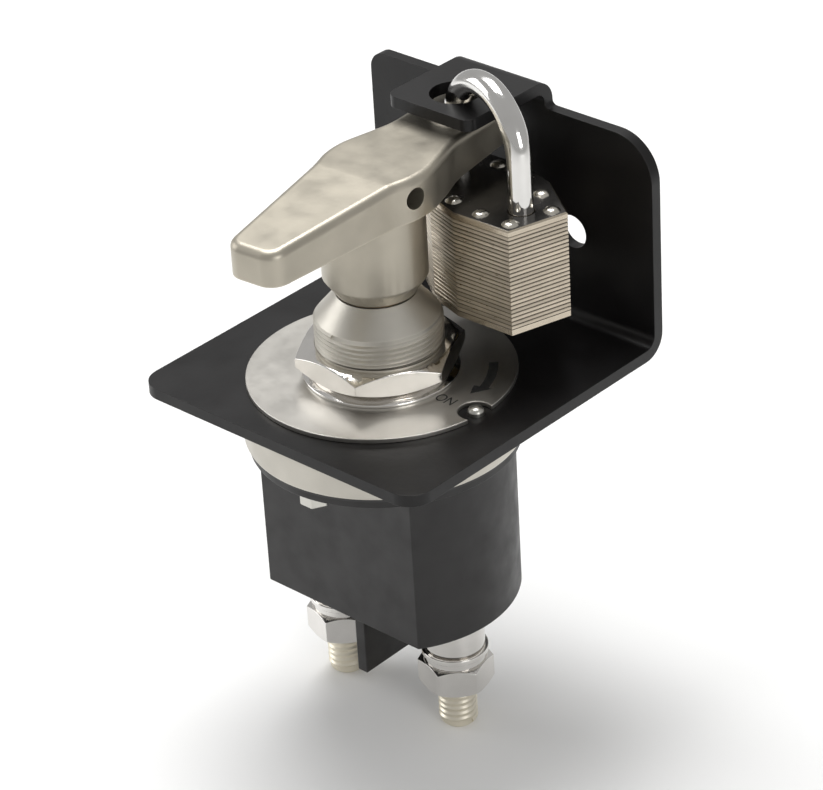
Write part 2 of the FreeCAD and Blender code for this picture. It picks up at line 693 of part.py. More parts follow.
def make_lever():
    """Cast lever: tapered nose to -Y, tail with the lock hole to +Y, hub down to the stem."""
    body = new_body("lever")
    outline_lever(body)
    slope_lever(body)
    hub = new_sketch(body, "lever_hub", "XZ_Plane")
    inside = "leverBottom + overlap"
    polygon(hub, (("0", "hubBottom"), ("hubTipRadius", "hubBottom"),
                  ("hubRadius", "hubBottom + hubChamferRise"), ("hubRadius", inside), ("0", inside)))
    turn = body.newObject("PartDesign::Revolution", "lever_hub_turned")
    turn.Profile = hub
    turn.ReferenceAxis = (hub, ["V_Axis"])
    turn.Angle = 360
    doc.recompute()
    drill_lever(body)
    return node(ride_lever(body), "lever")


def outline_lever(body):
    """Plan of the lever: nose, neck, waist and tail, blended along both flanks."""
    right = (("noseTipHalf", "-noseTip"), ("neckHalf", "-neckFront"), ("waistHalf", "waistPeak"),
             ("tailHalf", "tailStart"), ("tailHalf", "tailEnd"))
    left = tuple(("-" + x, y) for x, y in reversed(right))
    outline = polygon(new_sketch(body, "lever_outline", offset="leverBottom"), right + left)
    pad(body, outline, "leverTop - leverBottom")
    dress(body, "Fillet", upright(size("neckHalf"), -size("neckFront")), "flankBlend")
    dress(body, "Fillet", upright(size("waistHalf"), size("waistPeak")), "flankBlend")
    dress(body, "Fillet", upright(size("tailHalf"), size("tailStart")), "flankBlend")
    dress(body, "Fillet", upright(size("noseTipHalf"), -size("noseTip")), "noseCorner")
    dress(body, "Fillet", upright(size("tailHalf"), size("tailEnd")), "leverCorner")


def slope_lever(body):
    """Nose sloping down at the top, tail thinning from below."""
    nose = new_sketch(body, "lever_nose_slope", "YZ_Plane")
    front = "-noseTip - overlap"
    polygon(nose, ((front, "leverTop - noseDrop"), ("-neckFront", "leverTop"),
                   ("-neckFront", "leverTop + overlap"), (front, "leverTop + overlap")))
    cut(body, nose, "4 * waistHalf", midplane=True)
    tail = new_sketch(body, "lever_tail_slope", "YZ_Plane")
    start = "hubRadius + overlap"
    end = "tailEnd + overlap"
    polygon(tail, ((start, "leverBottom"), (start, "leverBottom - overlap"),
                   (end, "leverBottom - overlap"), (end, "leverBottom + tailThin")))
    cut(body, tail, "4 * waistHalf", midplane=True)


def drill_lever(body):
    """Blind bore for the shaft, cross hole for the pin and the lock hole in the tail."""
    bore = new_sketch(body, "lever_bore", offset="hubBottom")
    circle(bore, "0", "0", "shaftRadius + runClear")
    cut(body, bore, "shaftTop + boreEnd - hubBottom", reverse=True)
    cross = new_sketch(body, "lever_cross_hole", "YZ_Plane")
    circle(cross, "0", "leverPinZ", "leverPinRadius + leverPinClear")
    cut(body, cross, "4 * waistHalf", midplane=True)
    lock = new_sketch(body, "lever_lock_hole", offset="leverTop")
    circle(lock, "0", "lockHoleY", "lockHoleRadius")
    cut(body, lock, "leverTop - leverBottom")


def make_lever_pin():
    """Spring pin, recessed in the hub's cross hole."""
    thin = "leverPinRadius - leverPinChamfer"
    near = "leverPinHalf - leverPinChamfer"
    far = "leverPinChamfer - leverPinHalf"
    pin = lathe("cross_pin", (("0", "-leverPinHalf"), (thin, "-leverPinHalf"), ("leverPinRadius", far),
                              ("leverPinRadius", near), (thin, "leverPinHalf"), ("0", "leverPinHalf")))
    pin.Placement = FreeCAD.Placement(ORIGIN, FreeCAD.Rotation(FreeCAD.Vector(0, 1, 0), 90))
    holder = group("cross_pin_holder", [pin])
    return node(turned(holder, z="leverPinZ", turn="leverTurn"), "lever_pin")


# ---- padlock ------------------------------------------------------------------------------

def lock_outline():
    """Six-sided plan of the padlock, from its toe leg's axis."""
    centre = "legSpacing / 2"
    return ((centre + " - lockHalf", "-lockEnd"), (centre + " - lockFlat", "-lockDeep"),
            (centre + " + lockFlat", "-lockDeep"), (centre + " + lockHalf", "-lockEnd"),
            (centre + " + lockHalf", "lockEnd"), (centre + " + lockFlat", "lockDeep"),
            (centre + " - lockFlat", "lockDeep"), (centre + " - lockHalf", "lockEnd"))


def lock_plate(name, low, thick, holes):
    """One plate of the padlock's stack with round holes (x, y, radius)."""
    body = new_body(name)
    pad(body, polygon(new_sketch(body, name + "_outline", offset=low), lock_outline()), thick)
    drilled = new_sketch(body, name + "_holes", offset=low)
    for x, y, radius in holes:
        circle(drilled, x, y, radius)
    cut(body, drilled, thick, reverse=True)
    return body


def rivet_places():
    """Centres of the ten rivets, from the toe leg's axis."""
    return [("legSpacing / 2 + %s" % x, "%s" % (y * side)) for x, y in RIVETS for side in (-1, 1)]


def rivet_holes():
    return [(x, y, "rivetRadius + runClear") for x, y in rivet_places()]


def leg_holes():
    return [("0", "0", "legHole"), ("legSpacing", "0", "legHole")]


def make_padlock_plates():
    """Cap, stack of laminations and base plate."""
    cap = lock_plate("lock_cap", "lockTop - lockSkin", "lockSkin", leg_holes() + rivet_holes())
    dress(cap, "Chamfer", on_cap_rim, "plateBevel * 2")
    node(ride_padlock(cap), "padlock_top_plate")
    base = lock_plate("lock_base", "lockBottom", "lockSkin",
                      [("legSpacing / 2", "0", "plugBore")] + rivet_holes())
    node(ride_padlock(base), "padlock_bottom_plate")
    make_laminations()


def make_laminations():
    """Identical pressed plates, one node, with a bevelled rim so that each one reads."""
    first = "lockBottom + lockSkin"
    pitch = "(lockTop - lockBottom - 2 * lockSkin) / plateCount"
    plate = lock_plate("lock_leaf", first, pitch + " - plateGap", leg_holes() + rivet_holes())
    window = new_sketch(plate, "lock_leaf_window", offset=first)
    low = "latchTip - latchRoom"
    high = "latchTip + latchLength + latchTravel + latchRoom"
    half = "latchHalf + latchRoom"
    less_half = "-latchHalf - latchRoom"
    polygon(window, ((low, less_half), (high, less_half), (high, half), (low, half)))
    cut(plate, window, "lockSkin", reverse=True)
    plug = new_sketch(plate, "lock_leaf_plug", offset=first)
    circle(plug, "legSpacing / 2", "0", "plugBore")
    cut(plate, plug, "lockSkin", reverse=True)
    dress(plate, "Chamfer", on_leaf_rim, "plateBevel")
    leaf = doc.addObject("Part::Feature", "lock_leaf_solid")
    leaf.Shape = plate.Shape.copy()
    leaves = []
    for count in range(int(size("plateCount"))):
        copy = doc.addObject("Part::Compound", "lock_leaf_%02d" % count)
        copy.Links = [leaf]
        bind(copy, Placement__Base__z="%d * %s" % (count, pitch))
        leaves.append(copy)
    node(ride_padlock(group("lock_stack", leaves)), "padlock_laminations")


def on_cap_rim(edge):
    """True for the straight edges round the top of the cap."""
    high = abs(edge.BoundBox.Center.z - size("lockTop")) < TOUCH
    return high and edge.BoundBox.ZLength < TOUCH and edge.Curve.TypeId == "Part::GeomLine"


def on_leaf_rim(edge):
    """True for the straight, level edges of a lamination's outer outline."""
    if edge.Curve.TypeId != "Part::GeomLine" or edge.BoundBox.ZLength > TOUCH:
        return False
    middle = edge.BoundBox.Center
    across = abs(middle.x - size("legSpacing") / 2)
    return abs(middle.y) > size("lockEnd") - 0.1 or across > size("lockHalf") - 0.1


def make_rivets():
    """Through rivets with a low domed head at each end."""
    dome = [("rivetHead * %s" % across, "rivetRise * %s" % up) for across, up in RIVET_DOME]
    above = [(across, "lockTop + " + up) for across, up in dome]
    below = [(across, "lockBottom - " + up) for across, up in reversed(dome)]
    shank = [("rivetHead", "lockBottom"), ("rivetRadius", "lockBottom"), ("rivetRadius", "lockTop"),
             ("rivetHead", "lockTop")]
    rivets = [turned(lathe("rivet_%d" % count, below + shank + above), x=x, y=y)
              for count, (x, y) in enumerate(rivet_places())]
    node(ride_padlock(group("rivet_set", rivets)), "padlock_rivets")


def make_shackle():
    """U of round bar: toe leg through the tab and the lever's tail, heel leg kept in the body."""
    arch = doc.addObject("Part::Torus", "shackle_arch")
    bind(arch, Radius1="legSpacing / 2", Radius2="legRadius", Placement__Base__x="legSpacing / 2",
         Placement__Base__z="archZ")
    arch.Angle3 = 180
    arch.Placement.Rotation = FreeCAD.Rotation(FreeCAD.Vector(1, 0, 0), 90)
    toe = cylinder("shackle_toe", "legRadius", "archZ - toeBottom", z="toeBottom")
    heel = cylinder("shackle_heel", "legRadius", "archZ - heelBottom", "legSpacing", "0", "heelBottom")
    bow = fused("shackle_bow", arch, toe, heel)
    return node(ride_padlock(less("shackle_part", bow, shackle_notch())), "padlock_shackle")


def shackle_notch():
    """Notch in the toe leg that the latch enters, with a ramp that lets it back out."""
    deep = "legRadius - latchBite"
    outside = "legRadius + latchRoom"
    top = "latchTop + latchGap"
    ramp = "shackleTravel * latchBite / latchTravel"
    body = new_body("shackle_notch")
    side = polygon(new_sketch(body, "notch_side", "XZ_Plane"),
                   ((deep, top), (outside, top), (outside, "latchBottom - notchLead - " + ramp),
                    (deep, "latchBottom - latchGap")))
    pad(body, side, "3 * legRadius", midplane=True)
    return body


def make_plug_and_latch():
    """Key plug in the base and the latch bar that bites the toe leg's notch."""
    plug = cylinder("plug_round", "plugRadius", "plugTop - lockBottom", "0", "0", "lockBottom")
    key = box("plug_keyway", "keyLong", "keyWide", "keyDeep", "-keyLong / 2", "-keyWide / 2", "lockBottom")
    drum = less("plug_part", plug, key)
    centred = turned(drum, x="legSpacing / 2")
    node(ride_padlock(group("plug_holder", [centred])), "padlock_plug")
    bar = box("latch_bar", "latchLength", "2 * latchHalf", "latchTop - latchBottom", "latchTip",
              "-latchHalf", "latchBottom")
    node(ride_padlock(group("latch_holder", [bar])), "padlock_latch")


def check_and_write():
    """Stops on any failed object, then writes one STEP file per sub-part."""
    doc.recompute()
    failed = [item.Name for item in doc.Objects if "Invalid" in item.State or "Error" in item.State]
    if failed:
        raise ValueError("failed objects: " + ", ".join(failed))
    os.makedirs("parts", exist_ok=True)
    for item in nodes:
        shape = item.Shape
        if shape.isNull() or not shape.isValid() or not shape.Solids:
            raise ValueError(item.Label + " has no valid solid")
        shape.exportStep("parts/%s.step" % item.Label)
        box_ = shape.BoundBox
        print("%-28s %2d solids %9.1f mm3  z %7.2f %7.2f" % (item.Label, len(shape.Solids), shape.Volume,
                                                          box_.ZMin, box_.ZMax))


fill_sheet()
make_bracket()
make_face_plate()
make_stem_fasteners()
make_locating_pin()
make_cover()
make_stop_pins()
make_gasket()
make_cover_screws()
make_housing()
make_terminal("left", -1)
make_terminal("right", 1)
make_contact_pads()
make_shaft_supports()
make_shaft()
make_shaft_rings()
make_rotor()
make_contact_bridge()
make_contact_spring()
make_lever()
make_lever_pin()
make_padlock_plates()
make_rivets()
make_shackle()
make_plug_and_latch()
check_and_write()
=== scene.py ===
"""Battery master switch on a lockout bracket, with a laminated padlock.

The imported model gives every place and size; this file adds rounded edges, threads, printed marks
and finishes, and sets the stage.
"""
import json
import math

import bmesh
import bpy
from mathutils import Matrix, Vector


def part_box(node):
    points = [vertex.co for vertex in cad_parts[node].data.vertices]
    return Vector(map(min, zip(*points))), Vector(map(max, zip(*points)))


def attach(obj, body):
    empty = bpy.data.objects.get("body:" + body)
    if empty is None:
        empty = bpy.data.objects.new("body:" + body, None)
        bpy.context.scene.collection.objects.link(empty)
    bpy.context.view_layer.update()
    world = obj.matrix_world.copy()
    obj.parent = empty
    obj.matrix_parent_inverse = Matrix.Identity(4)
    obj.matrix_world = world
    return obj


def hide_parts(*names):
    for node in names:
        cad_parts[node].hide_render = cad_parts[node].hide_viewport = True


bl_info = {
    "name": "Battery switch with lockout bracket",
    "version": (1, 0, 0),
    "blender": (4, 5, 0),
    "location": "View3D > Sidebar > Battery switch",
    "description": "Builds the visible pieces and finishes of a battery switch and its padlock",
    "category": "Object",
}

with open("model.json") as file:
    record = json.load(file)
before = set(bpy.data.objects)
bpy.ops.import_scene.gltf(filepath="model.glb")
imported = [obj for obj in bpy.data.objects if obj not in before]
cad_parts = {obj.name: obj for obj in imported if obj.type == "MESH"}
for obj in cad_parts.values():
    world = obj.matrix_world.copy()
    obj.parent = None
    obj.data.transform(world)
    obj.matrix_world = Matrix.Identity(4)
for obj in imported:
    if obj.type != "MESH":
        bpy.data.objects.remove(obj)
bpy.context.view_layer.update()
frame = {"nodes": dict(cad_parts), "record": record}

MM = 0.001
UP = Vector((0, 0, 1))
DOUBLES = 2e-6
FLAT = math.radians(0.6)
SHARP = math.radians(32)
VERY_SHARP = math.radians(48)
SMOOTH_BELOW = math.radians(36)

# Each lamp's name, place and size in metres, and watts.
LAMPS = (
    ("key", (-0.30, 0.20, 0.95), 0.60, 9.5),
    ("fill", (0.95, -0.25, 0.30), 0.40, 2.2),
    ("side", (-0.80, -0.35, 0.30), 0.50, 2.0),
)
# The camera's turn, rise and roll in degrees, its distance and its shift across the view.
CAMERA_ANGLES = (43.75, 30.66, -3.49)
CAMERA_DISTANCE = 791.26 * MM
CAMERA_SIDE = -6.91 * MM
CAMERA_TOP = 5.32 * MM
CAMERA_LENS = 147.87

SLOTS = {part["node"]: part["material_slot"] for part in frame["record"]["subparts"]}
BODIES = {node: body for body, nodes in frame["record"]["behaviour"]["bodies"].items()
          for node in nodes}


# ---- sizes and colours --------------------------------------------------------------------

def length(label, about, default):
    return bpy.props.FloatProperty(name=label, description=about, default=default * MM,
                                   min=0.0, unit="LENGTH", precision=5)


def colour(label, about, default):
    return bpy.props.FloatVectorProperty(name=label, description=about, default=default, size=3,
                                         min=0.0, max=1.0, subtype="COLOR")


class SwitchSizes(bpy.types.PropertyGroup):
    plate_edge: length("Bracket edge", "Rounding of the cut edges of the bracket's plate", 0.45)
    lever_edge: length("Lever edge", "Rounding of the cast lever's top edge", 2.2)
    moulding_edge: length("Moulding edge", "Rounding of the moulded housing", 0.6)
    screw_edge: length("Screw edge", "Rounding of the cover screws", 0.25)
    stem_pitch: length("Stem pitch", "Distance between the crests of the stem's thread", 1.25)
    stem_depth: length("Stem thread depth", "Depth of the stem's thread", 0.55)
    stud_pitch: length("Stud pitch", "Distance between the crests of a stud's thread", 1.5875)
    stud_depth: length("Stud thread depth", "Depth of a stud's thread", 0.4)
    print_thick: length("Print thickness", "How far the printed marks stand on the face", 0.04)


class SwitchColours(bpy.types.PropertyGroup):
    coat: colour("Powder coat", "The bracket's coat", (0.0045, 0.0040, 0.0042))
    lever: colour("Lever", "The cast lever's metal", (0.46, 0.425, 0.355))
    plate: colour("Face plate", "The face plate's metal", (0.60, 0.58, 0.54))
    moulding: colour("Moulding", "The moulded housing", (0.006, 0.005, 0.005))
    laminations: colour("Laminations", "The padlock's stacked plates", (0.58, 0.51, 0.41))
    cap: colour("Cap plate", "Flat faces of the padlock's end plates", (0.11, 0.105, 0.10))
    floor: colour("Floor", "The stage's floor", (0.90, 0.90, 0.895))


# ---- meshes -------------------------------------------------------------------------------

def merged_copy(node):
    """A node's mesh with its doubles merged and its flat faces joined."""
    shape = bmesh.new()
    shape.from_mesh(frame["nodes"][node].data)
    bmesh.ops.remove_doubles(shape, verts=shape.verts, dist=DOUBLES)
    bmesh.ops.dissolve_limit(shape, angle_limit=FLAT, verts=shape.verts, edges=shape.edges)
    return shape


def sharp_edges(shape, limit=SHARP):
    return [edge for edge in shape.edges
            if edge.is_manifold and edge.calc_face_angle(0.0) > limit]


def round_off(shape, edges, width, segments=3):
    if edges and width > 0:
        bmesh.ops.bevel(shape, geom=edges, offset=width, offset_type="OFFSET", segments=segments,
                        profile=0.5, affect="EDGES", clamp_overlap=True, material=-1)


def put_out(shape, name, finish, body, slot, *nodes):
    """Turns a finished bmesh into a piece that rides on its body."""
    for face in shape.faces:
        face.smooth = True
    for edge in shape.edges:
        edge.smooth = edge.calc_face_angle(0.0) < SMOOTH_BELOW
    mesh = bpy.data.meshes.new(name)
    shape.to_mesh(mesh)
    shape.free()
    mesh.materials.append(finish)
    piece = bpy.data.objects.new(name, mesh)
    bpy.context.scene.collection.objects.link(piece)
    even = piece.modifiers.new("Even shading", "WEIGHTED_NORMAL")
    even.keep_sharp = True
    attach(piece, body)
    if nodes:
        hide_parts(*nodes)


def softened(node, finish, width, segments=3):
    """A node's own shape with its sharp edges rounded."""
    shape = merged_copy(node)
    round_off(shape, sharp_edges(shape), width, segments)
    put_out(shape, node + "_soft", finish, BODIES[node], SLOTS[node], node)


def lathed(shape, profile, steps, x=0.0, ring=True):
    """Turns (radius, height) corners about a vertical line: a closed ring, or axis to axis."""
    verts = [shape.verts.new((x + radius, 0, height)) for radius, height in profile]
    pairs = list(zip(verts, verts[1:]))
    if ring:
        pairs.insert(0, (verts[-1], verts[0]))
    line = [shape.edges.new(pair) for pair in pairs]
    bmesh.ops.spin(shape, geom=verts + line, cent=(x, 0, 0), axis=UP, angle=math.tau,
                   steps=steps, use_merge=True, use_duplicate=False)


def thread(shape, radius, depth, pitch, low, high, steps, x=0.0):
    """Adds a helical tooth with closed ends, crest at the given radius and foot in the core."""
    foot_radius = radius - depth * 1.15
    foot = pitch * 0.43
    crest = pitch * 0.07
    tooth = [(foot_radius, -foot), (radius, -crest), (radius, crest), (foot_radius, foot)]
    climb = high - low - 2 * foot
    verts = [shape.verts.new((x + out, 0, low + foot + rise)) for out, rise in tooth]
    face = shape.faces.new(verts)
    turns = climb / pitch
    count = max(1, int(turns * steps))
    bmesh.ops.spin(shape, geom=[face] + verts + list(face.edges), cent=(x, 0, 0), axis=UP,
                   dvec=(0, 0, climb / count), angle=math.tau * turns, steps=count,
                   use_merge=False, use_duplicate=False)


def closed(shape):
    bmesh.ops.remove_doubles(shape, verts=shape.verts, dist=1e-6)
    bmesh.ops.recalc_face_normals(shape, faces=shape.faces)


# ---- finishes -----------------------------------------------------------------------------

class Finish:
    """A surface made of nodes that read the piece's own coordinates."""

    def __init__(self, name, base, metallic, roughness):
        self.material = bpy.data.materials.new(name)
        self.material.use_nodes = True
        self.tree = self.material.node_tree
        self.tree.nodes.clear()
        output = self.tree.nodes.new("ShaderNodeOutputMaterial")
        self.surface = self.tree.nodes.new("ShaderNodeBsdfPrincipled")
        self.tree.links.new(self.surface.outputs["BSDF"], output.inputs["Surface"])
        self.surface.inputs["Base Color"].default_value = (*base, 1)
        self.surface.inputs["Metallic"].default_value = metallic
        self.surface.inputs["Roughness"].default_value = roughness
        self.place = self.tree.nodes.new("ShaderNodeTexCoord").outputs["Object"]
        self.normal = None

    def link(self, source, target):
        self.tree.links.new(source, target)

    def stretched(self, scale):
        moved = self.tree.nodes.new("ShaderNodeMapping")
        moved.inputs["Scale"].default_value = scale
        self.link(self.place, moved.inputs["Vector"])
        return moved.outputs["Vector"]

    def noise(self, scale, detail=3.0, stretch=None):
        grain = self.tree.nodes.new("ShaderNodeTexNoise")
        grain.inputs["Scale"].default_value = scale
        grain.inputs["Detail"].default_value = detail
        self.link(self.stretched(stretch) if stretch else self.place, grain.inputs["Vector"])
        return grain.outputs["Fac"]

    def spread(self, source, low, high, start=0.3, end=0.7):
        span = self.tree.nodes.new("ShaderNodeMapRange")
        span.inputs["From Min"].default_value = start
        span.inputs["From Max"].default_value = end
        span.inputs["To Min"].default_value = low
        span.inputs["To Max"].default_value = high
        self.link(source, span.inputs["Value"])
        return span.outputs["Result"]

    def blend(self, amount, first, second):
        mixed = self.tree.nodes.new("ShaderNodeMix")
        mixed.data_type = "RGBA"
        self.link(amount, mixed.inputs["Factor"])
        for value, socket in ((first, mixed.inputs["A"]), (second, mixed.inputs["B"])):
            if isinstance(value, tuple):
                socket.default_value = (*value, 1)
            else:
                self.link(value, socket)
        return mixed.outputs["Result"]

    def math(self, action, first, second=0.0):
        step = self.tree.nodes.new("ShaderNodeMath")
        step.operation = action
        for value, socket in ((first, step.inputs[0]), (second, step.inputs[1])):
            if isinstance(value, (int, float)):
                socket.default_value = value
            else:
                self.link(value, socket)
        return step.outputs["Value"]

    def edge_mask(self, radius, strength=6.0):
        """Bright where the surface turns sharply."""
        rounded = self.tree.nodes.new("ShaderNodeBevel")
        rounded.samples = 4
        rounded.inputs["Radius"].default_value = radius
        shape = self.tree.nodes.new("ShaderNodeNewGeometry")
        product = self.tree.nodes.new("ShaderNodeVectorMath")
        product.operation = "DOT_PRODUCT"
        self.link(rounded.outputs["Normal"], product.inputs[0])
        self.link(shape.outputs["Normal"], product.inputs[1])
        turned = self.math("SUBTRACT", 1.0, product.outputs["Value"])
        return self.math("MINIMUM", self.math("MULTIPLY", turned, strength), 1.0)

    def tones(self, base, scale, detail, darker, lighter):
        """Soft patches between a darker and a lighter tone of one colour."""
        patches = self.spread(self.noise(scale, detail), 0.0, 1.0)
        return self.blend(patches, scaled(base, darker), scaled(base, lighter))

    def colour(self, socket):
        self.link(socket, self.surface.inputs["Base Color"])

    def rough(self, socket):
        self.link(socket, self.surface.inputs["Roughness"])

    def bump(self, height, distance, strength=1.0):
        raised = self.tree.nodes.new("ShaderNodeBump")
        raised.inputs["Strength"].default_value = strength
        raised.inputs["Distance"].default_value = distance
        self.link(height, raised.inputs["Height"])
        if self.normal is not None:
            self.link(self.normal, raised.inputs["Normal"])
        self.normal = raised.outputs["Normal"]
        self.link(self.normal, self.surface.inputs["Normal"])


def scaled(base, factor):
    return tuple(min(1.0, part * factor) for part in base)


def powder_coat(base):
    coat = Finish("Black powder coat", base, 0.0, 0.4)
    coat.surface.inputs["Specular IOR Level"].default_value = 0.32
    orange_peel = coat.noise(620, 2.0)
    coat.bump(orange_peel, 0.06 * MM, 0.35)
    coat.rough(coat.spread(coat.noise(70, 4.0), 0.30, 0.44))
    tone = coat.tones(base, 30, 3.0, 0.8, 1.35)
    patches = coat.spread(coat.noise(240, 4.0), 0.0, 0.35, 0.45, 0.75)
    worn = coat.math("MULTIPLY", coat.edge_mask(0.6 * MM), patches)
    coat.colour(coat.blend(worn, tone, (0.055, 0.053, 0.051)))
    return coat.material


def cast_metal(name, base, low, high):
    """Cast metal, satin, with soft grain and brighter edges."""
    metal = Finish(name, base, 0.92, (low + high) / 2)
    metal.rough(metal.spread(metal.noise(130, 5.0), low, high))
    metal.bump(metal.noise(900, 4.0), 0.05 * MM, 0.30)
    metal.bump(metal.noise(90, 3.0), 0.2 * MM, 0.16)
    tone = metal.tones(base, 45, 5.0, 0.86, 1.08)
    metal.colour(metal.blend(metal.edge_mask(0.8 * MM, 4.0), tone, scaled(base, 1.25)))
    return metal.material


def bright_metal(name, base, low, high, streak=(1, 1, 1), streaks=400):
    """Plated or polished metal with fine lines and handling marks."""
    metal = Finish(name, base, 1.0, (low + high) / 2)
    lines = metal.noise(streaks, 5.0, streak)
    marks = metal.spread(metal.noise(60, 4.0), low, high)
    metal.rough(metal.math("ADD", marks, metal.spread(lines, 0.0, 0.05)))
    metal.bump(lines, 0.01 * MM, 0.20)
    metal.colour(metal.tones(base, 80, 4.0, 0.90, 1.06))
    return metal.material


def moulded_black(name, base):
    plastic = Finish(name, base, 0.0, 0.45)
    plastic.rough(plastic.spread(plastic.noise(160, 4.0), 0.38, 0.54))
    plastic.bump(plastic.noise(1500, 2.0), 0.02 * MM, 0.30)
    edges = plastic.edge_mask(0.8 * MM)
    worn = plastic.math("MULTIPLY", edges, plastic.spread(plastic.noise(180, 3.0), 0.1, 0.5))
    plastic.colour(plastic.blend(worn, base, (0.03, 0.028, 0.027)))
    return plastic.material


def stacked_plates(base):
    """Laminated steel: each plate has its own tone, with dark seams between the plates."""
    metal = Finish("Lock laminations", base, 0.95, 0.38)
    low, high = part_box("padlock_laminations")
    plates, gap = 23, 0.06 * MM
    pitch = (high.z - low.z + gap) / plates
    parts = metal.tree.nodes.new("ShaderNodeSeparateXYZ")
    metal.link(metal.place, parts.inputs["Vector"])
    step = metal.math("DIVIDE", metal.math("SUBTRACT", parts.outputs["Z"], low.z), pitch)
    from_middle = metal.math("ABSOLUTE", metal.math("SUBTRACT", metal.math("FRACT", step), 0.5))
    seam = metal.spread(from_middle, 0.0, 1.0, 0.33, 0.48)
    plate = metal.tree.nodes.new("ShaderNodeTexWhiteNoise")
    plate.noise_dimensions = "1D"
    metal.link(metal.math("FLOOR", step), plate.inputs["W"])
    shade = metal.spread(plate.outputs["Value"], 0.0, 1.0, 0.0, 1.0)
    tone = metal.blend(shade, scaled(base, 0.82), scaled(base, 1.15))
    stained = metal.blend(metal.spread(metal.noise(120, 5.0), 0.0, 0.5), tone, scaled(base, 0.7))
    metal.colour(metal.blend(seam, stained, scaled(base, 0.04)))
    streaks = metal.noise(300, 4.0, (1, 1, 6))
    metal.rough(metal.spread(streaks, 0.26, 0.46))
    metal.bump(streaks, 0.03 * MM, 0.25)
    return metal.material


def lock_plate(face, side):
    """Darker rolled face, with cut sides as bright as the laminations."""
    metal = Finish("Lock end plate", face, 0.95, 0.25)
    shape = metal.tree.nodes.new("ShaderNodeNewGeometry")
    parts = metal.tree.nodes.new("ShaderNodeSeparateXYZ")
    metal.link(shape.outputs["True Normal"], parts.inputs["Vector"])
    level = metal.spread(metal.math("ABSOLUTE", parts.outputs["Z"]), 0.0, 1.0, 0.75, 0.95)
    worn = metal.spread(metal.noise(140, 5.0), 0.0, 0.5)
    dark = metal.blend(worn, face, scaled(face, 1.5))
    cut = metal.blend(worn, scaled(side, 1.05), scaled(side, 0.8))
    metal.colour(metal.blend(level, cut, dark))
    metal.rough(metal.spread(metal.noise(90, 4.0), 0.16, 0.30))
    metal.bump(metal.noise(600, 3.0), 0.02 * MM, 0.20)
    return metal.material


def printed_ink():
    ink = Finish("Printed ink", (0.012, 0.012, 0.012), 0.0, 0.5)
    ink.rough(ink.spread(ink.noise(500, 3.0), 0.42, 0.6))
    rubbed = ink.spread(ink.noise(900, 3.0), 0.0, 0.6)
    ink.colour(ink.blend(rubbed, (0.010, 0.010, 0.010), (0.035, 0.034, 0.032)))
    return ink.material


def pale_floor(base):
    floor = Finish("Pale floor", base, 0.0, 0.7)
    floor.rough(floor.spread(floor.noise(8, 3.0), 0.62, 0.78))
    floor.colour(floor.tones(base, 3, 2.0, 0.985, 1.0))
    return floor.material


def make_finishes(colours):
    """One finish for each of the record's material slots."""
    return {
        "black_powder_coat": powder_coat(tuple(colours.coat)),
        "printed_face": bright_metal("Face plate", tuple(colours.plate), 0.30, 0.38),
        "bright_plate": bright_metal("Chrome hardware", (0.78, 0.76, 0.73), 0.06, 0.12),
        "cast_cover": cast_metal("Cast cover", (0.56, 0.535, 0.48), 0.36, 0.50),
        "cast_lever": cast_metal("Cast lever", tuple(colours.lever), 0.34, 0.46),
        "zinc_screws": bright_metal("Zinc screws", (0.55, 0.54, 0.50), 0.22, 0.34),
        "black_moulding": moulded_black("Black moulding", tuple(colours.moulding)),
        "rubber": moulded_black("Rubber", (0.018, 0.018, 0.018)),
        "plated_stud": bright_metal("Plated stud", (0.80, 0.75, 0.63), 0.32, 0.44),
        "copper": bright_metal("Copper", (0.72, 0.34, 0.20), 0.20, 0.34),
        "silver": bright_metal("Silver contact", (0.80, 0.79, 0.76), 0.18, 0.30),
        "bronze": bright_metal("Bronze bush", (0.50, 0.31, 0.14), 0.26, 0.38),
        "steel": bright_metal("Turned steel", (0.46, 0.45, 0.43), 0.22, 0.36, (1, 1, 8)),
        "lock_laminations": stacked_plates(tuple(colours.laminations)),
        "lock_cap": lock_plate(tuple(colours.cap), tuple(colours.laminations)),
        "lock_rivets": bright_metal("Lock rivets", (0.58, 0.55, 0.49), 0.16, 0.28),
        "lock_plug": bright_metal("Lock plug", (0.60, 0.47, 0.24), 0.24, 0.36),
        "shackle_chrome": bright_metal("Shackle", (0.76, 0.75, 0.73), 0.05, 0.12,
                                       (1, 1, 5), 260),
        # Near-black pin finish: painted shade that stands in for the shadow inside the lever's pin
        # hole.
        "blackened": bright_metal("Painted shade pin", (0.030, 0.028, 0.026), 0.40, 0.55),
        "ink": printed_ink(),
        "floor": pale_floor(tuple(colours.floor)),
    }


FINISHES = {}


def finish_of(node):
    return FINISHES[SLOTS[node]]


def refinish(*nodes):
    """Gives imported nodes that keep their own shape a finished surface."""
    for node in nodes:
        piece = frame["nodes"][node]
        if not piece.material_slots:
            raise RuntimeError("node %s has no material slot to fill" % node)
        for slot in piece.material_slots:
            slot.material = finish_of(node)


# ---- operators ----------------------------------------------------------------------------

class SWITCH_OT_finishes(bpy.types.Operator):
    """Makes the finishes for every piece"""
    bl_idname = "battery_switch.finishes"
    bl_label = "Finishes"

    def execute(self, context):
        FINISHES.update(make_finishes(context.scene.switch_colours))
        missing = sorted(set(SLOTS.values()) - set(FINISHES))
        if missing:
            raise RuntimeError("no finish for the slots %s" % missing)
        return {"FINISHED"}


class SWITCH_OT_bracket(bpy.types.Operator):
    """Makes the bent and powder-coated lockout bracket"""
    bl_idname = "battery_switch.bracket"
    bl_label = "Lockout bracket"

    def execute(self, context):
        node = "lockout_bracket"
        softened(node, finish_of(node), context.scene.switch_sizes.plate_edge, 4)
        return {"FINISHED"}


